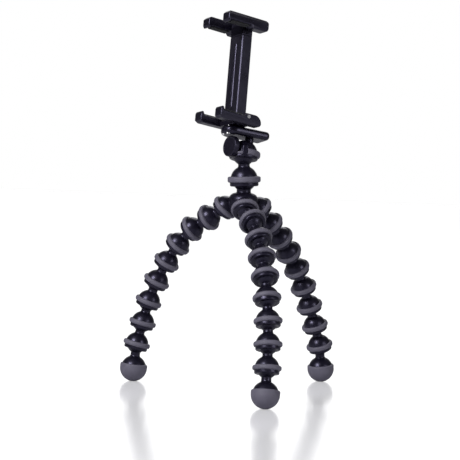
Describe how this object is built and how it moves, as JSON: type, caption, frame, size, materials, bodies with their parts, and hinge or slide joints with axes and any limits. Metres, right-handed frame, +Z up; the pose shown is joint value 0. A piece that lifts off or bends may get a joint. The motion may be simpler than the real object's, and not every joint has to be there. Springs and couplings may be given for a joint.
{
  "type": "flexible leg tripod",
  "caption": "Small tripod with bendable ball-and-socket legs, a ball head with a lock knob, and a folding spring clamp for a phone.",
  "frame": {"origin": "middle of the bounding box's foot on the floor that the three feet stand on", "axes": "+Z up, -Y towards the viewer of the picture, +X to the viewer's right"},
  "size_m": [0.128, 0.1344, 0.2184],
  "materials": {
    "leg_plastic": "gloss black",
    "grip_rubber": "matt grey",
    "clamp_plastic": "satin black",
    "pad_rubber": "matt black",
    "steel": "plain"
  },
  "bodies": {
    "hub": {"hub_body": "leg_plastic", "hub_grip_rings": "grip_rubber", "hub_ball_stud": "leg_plastic", "hub_screw": "steel", "hub_plug": "leg_plastic"},
    "post": {"post_link": "leg_plastic", "post_grip_ring": "grip_rubber"},
    "head": {"head_housing": "leg_plastic", "head_grip_ring": "grip_rubber", "swivel_washer": "steel", "swivel_screw": "steel"},
    "lock_knob": {"lock_knob": "clamp_plastic", "lock_knob_screw": "steel"},
    "clamp_base": {"base_plate": "clamp_plastic", "base_plate_screws": "steel", "lower_jaw": "clamp_plastic", "lower_jaw_pads": "pad_rubber", "column_pin": "steel"},
    "column": {"column": "clamp_plastic", "spring_anchor_pin": "steel", "clamp_spring": "steel"},
    "slider": {"slider": "clamp_plastic"},
    "upper_jaw": {"upper_jaw": "clamp_plastic", "upper_jaw_pads": "pad_rubber", "upper_jaw_pin": "steel"},
    "front_link_1": {"front_leg_link_1": "leg_plastic"},
    "front_link_2": {"front_leg_link_2": "leg_plastic"},
    "front_link_3": {"front_leg_link_3": "leg_plastic"},
    "front_link_4": {"front_leg_link_4": "leg_plastic"},
    "front_link_5": {"front_leg_link_5": "leg_plastic"},
    "front_link_6": {"front_leg_link_6": "leg_plastic"},
    "front_link_7": {"front_leg_link_7": "leg_plastic"},
    "front_link_8": {"front_leg_link_8": "leg_plastic"},
    "front_foot": {"front_foot_stem": "leg_plastic", "front_foot_cap": "grip_rubber"},
    "right_link_1": {"right_leg_link_1": "leg_plastic"},
    "right_link_2": {"right_leg_link_2": "leg_plastic"},
    "right_link_3": {"right_leg_link_3": "leg_plastic"},
    "right_link_4": {"right_leg_link_4": "leg_plastic"},
    "right_link_5": {"right_leg_link_5": "leg_plastic"},
    "right_link_6": {"right_leg_link_6": "leg_plastic"},
    "right_link_7": {"right_leg_link_7": "leg_plastic"},
    "right_link_8": {"right_leg_link_8": "leg_plastic"},
    "right_foot": {"right_foot_stem": "leg_plastic", "right_foot_cap": "grip_rubber"},
    "left_link_1": {"left_leg_link_1": "leg_plastic"},
    "left_link_2": {"left_leg_link_2": "leg_plastic"},
    "left_link_3": {"left_leg_link_3": "leg_plastic"},
    "left_link_4": {"left_leg_link_4": "leg_plastic"},
    "left_link_5": {"left_leg_link_5": "leg_plastic"},
    "left_link_6": {"left_leg_link_6": "leg_plastic"},
    "left_link_7": {"left_leg_link_7": "leg_plastic"},
    "left_link_8": {"left_leg_link_8": "leg_plastic"},
    "left_foot": {"left_foot_stem": "leg_plastic", "left_foot_cap": "grip_rubber"}
  },
  "joints": [
    {"name": "front_link_1_tilt", "type": "hinge", "parent": "hub", "child": "front_link_1", "pos_m": [0.00652, -0.00283, 0.10549], "axis": [0.9205, 0.3907, 0], "range_deg": [-1, 35.5]},
    {"name": "front_link_2_tilt", "type": "hinge", "parent": "front_link_1", "child": "front_link_2", "pos_m": [0.01096, -0.0133, 0.09919], "axis": [-0.9205, -0.3907, 0], "range_deg": [-7, 37]},
    {"name": "front_link_3_tilt", "type": "hinge", "parent": "front_link_2", "child": "front_link_3", "pos_m": [0.01461, -0.0219, 0.09016], "axis": [0.9659, 0.2588, 0], "range_deg": [-25, 17]},
    {"name": "front_link_4_tilt", "type": "hinge", "parent": "front_link_3", "child": "front_link_4", "pos_m": [0.01684, -0.03022, 0.08042], "axis": [-0.9703, -0.2419, 0], "range_deg": [-20, 23]},
    {"name": "front_link_5_tilt", "type": "hinge", "parent": "front_link_4", "child": "front_link_5", "pos_m": [0.01886, -0.03833, 0.07047], "axis": [0.9744, 0.225, 0], "range_deg": [-33, 10]},
    {"name": "front_link_6_tilt", "type": "hinge", "parent": "front_link_5", "child": "front_link_6", "pos_m": [0.02026, -0.04438, 0.05904], "axis": [-0.9744, -0.225, 0], "range_deg": [-13.5, 30.5]},
    {"name": "front_link_7_tilt", "type": "hinge", "parent": "front_link_6", "child": "front_link_7", "pos_m": [0.02126, -0.04871, 0.04682], "axis": [0.9945, 0.1045, 0], "range_deg": [-24.5, 19]},
    {"name": "front_link_8_tilt", "type": "hinge", "parent": "front_link_7", "child": "front_link_8", "pos_m": [0.02166, -0.05249, 0.03439], "axis": [-0.9994, 0.0349, 0], "range_deg": [-19.5, 23.5]},
    {"name": "front_foot_tilt", "type": "hinge", "parent": "front_link_8", "child": "front_foot", "pos_m": [0.02154, -0.0558, 0.02182], "axis": [0.9945, -0.1045, 0], "range_deg": [-22.5, 21]},
    {"name": "right_link_1_tilt", "type": "hinge", "parent": "hub", "child": "right_link_1", "pos_m": [0.01461, 0.01518, 0.10549], "axis": [-0.6947, 0.7193, 0], "range_deg": [-18.5, 23.5]},
    {"name": "right_link_2_tilt", "type": "hinge", "parent": "right_link_1", "child": "right_link_2", "pos_m": [0.02145, 0.02178, 0.09663], "axis": [0.766, -0.6428, 0], "range_deg": [-23, 19.5]},
    {"name": "right_link_3_tilt", "type": "hinge", "parent": "right_link_2", "child": "right_link_3", "pos_m": [0.02771, 0.02924, 0.08801], "axis": [-0.829, 0.5592, 0], "range_deg": [-21.5, 21]},
    {"name": "right_link_4_tilt", "type": "hinge", "parent": "right_link_3", "child": "right_link_4", "pos_m": [0.03311, 0.03725, 0.07931], "axis": [0.7314, -0.682, 0], "range_deg": [-12, 29.5]},
    {"name": "right_link_5_tilt", "type": "hinge", "parent": "right_link_4", "child": "right_link_5", "pos_m": [0.03869, 0.04324, 0.06921], "axis": [-0.7314, 0.682, 0], "range_deg": [-30, 14]},
    {"name": "right_link_6_tilt", "type": "hinge", "parent": "right_link_5", "child": "right_link_6", "pos_m": [0.04326, 0.04813, 0.05807], "axis": [0.682, -0.7314, 0], "range_deg": [-16.5, 26.5]},
    {"name": "right_link_7_tilt", "type": "hinge", "parent": "right_link_6", "child": "right_link_7", "pos_m": [0.04743, 0.05202, 0.04639], "axis": [-0.6293, 0.7771, 0], "range_deg": [-25, 18]},
    {"name": "right_link_8_tilt", "type": "hinge", "parent": "right_link_7", "child": "right_link_8", "pos_m": [0.05129, 0.05515, 0.03437], "axis": [0.6428, -0.766, 0], "range_deg": [-19, 24.5]},
    {"name": "right_foot_tilt", "type": "hinge", "parent": "right_link_8", "child": "right_foot", "pos_m": [0.05466, 0.05798, 0.02214], "axis": [-0.6561, 0.7547, 0], "range_deg": [-34.5, 9]},
    {"name": "left_link_1_tilt", "type": "hinge", "parent": "hub", "child": "left_link_1", "pos_m": [-0.00503, 0.01319, 0.10549], "axis": [-0.5592, -0.829, 0], "range_deg": [-5.5, 36]},
    {"name": "left_link_2_tilt", "type": "hinge", "parent": "left_link_1", "child": "left_link_2", "pos_m": [-0.01437, 0.01948, 0.09899], "axis": [0.4384, 0.8988, 0], "range_deg": [-17.5, 24]},
    {"name": "left_link_3_tilt", "type": "hinge", "parent": "left_link_2", "child": "left_link_3", "pos_m": [-0.02411, 0.02423, 0.09182], "axis": [-0.4226, -0.9063, 0], "range_deg": [-35, 8]},
    {"name": "left_link_4_tilt", "type": "hinge", "parent": "left_link_3", "child": "left_link_4", "pos_m": [-0.03214, 0.02798, 0.08231], "axis": [0.3746, 0.9272, 0], "range_deg": [-10.5, 32.5]},
    {"name": "left_link_5_tilt", "type": "hinge", "parent": "left_link_4", "child": "left_link_5", "pos_m": [-0.03853, 0.03056, 0.07129], "axis": [-0.2756, -0.9613, 0], "range_deg": [-27, 16]},
    {"name": "left_link_6_tilt", "type": "hinge", "parent": "left_link_5", "child": "left_link_6", "pos_m": [-0.04411, 0.03216, 0.05965], "axis": [0.1392, 0.9903, 0], "range_deg": [-15, 28]},
    {"name": "left_link_7_tilt", "type": "hinge", "parent": "left_link_6", "child": "left_link_7", "pos_m": [-0.04851, 0.03278, 0.04744], "axis": [0.0523, -0.9986, 0], "range_deg": [-27.5, 15.5]},
    {"name": "left_link_8_tilt", "type": "hinge", "parent": "left_link_7", "child": "left_link_8", "pos_m": [-0.05154, 0.03262, 0.0348], "axis": [-0.2079, 0.9781, 0], "range_deg": [-22, 21]},
    {"name": "left_foot_tilt", "type": "hinge", "parent": "left_link_8", "child": "left_foot", "pos_m": [-0.05458, 0.03197, 0.02217], "axis": [0.342, -0.9397, 0], "range_deg": [-29.5, 14]},
    {"name": "post_tilt", "type": "hinge", "parent": "hub", "child": "post", "pos_m": [0.00536, 0.00851, 0.12219], "axis": [0, -1, 0], "range_deg": [-21, 14.5]},
    {"name": "head_tilt", "type": "hinge", "parent": "post", "child": "head", "pos_m": [0.00461, 0.00851, 0.13667], "axis": [-0.9839, 0.1788, 0], "range_deg": [-34, 5]},
    {"name": "lock_knob_turn", "type": "hinge", "parent": "head", "child": "lock_knob", "pos_m": [-0.00137, 0.00482, 0.14072], "axis": [0.8016, 0.5718, -0.1747], "range_deg": [0, 120]},
    {"name": "clamp_swivel", "type": "hinge", "parent": "head", "child": "clamp_base", "pos_m": [0.00741, 0.01245, 0.14527], "axis": [0.043, 0.2364, 0.9707], "range_deg": [-180, 180]},
    {"name": "column_fold", "type": "hinge", "parent": "clamp_base", "child": "column", "pos_m": [-0.00092, 0.00841, 0.15621], "axis": [-0.5963, 0.7856, -0.1649], "range_deg": [0, 90]},
    {"name": "slider_travel", "type": "slide", "parent": "column", "child": "slider", "axis": [0.043, 0.2364, 0.9707], "range_m": [0, 0.02], "stiffness_N_per_m": 300, "springref_m": -0.02, "deforming": ["clamp_spring"]},
    {"name": "upper_jaw_fold", "type": "hinge", "parent": "slider", "child": "upper_jaw", "pos_m": [0.00145, 0.02146, 0.20979], "axis": [-0.5963, 0.7856, -0.1649], "range_deg": [-90, 0]}
  ]
}
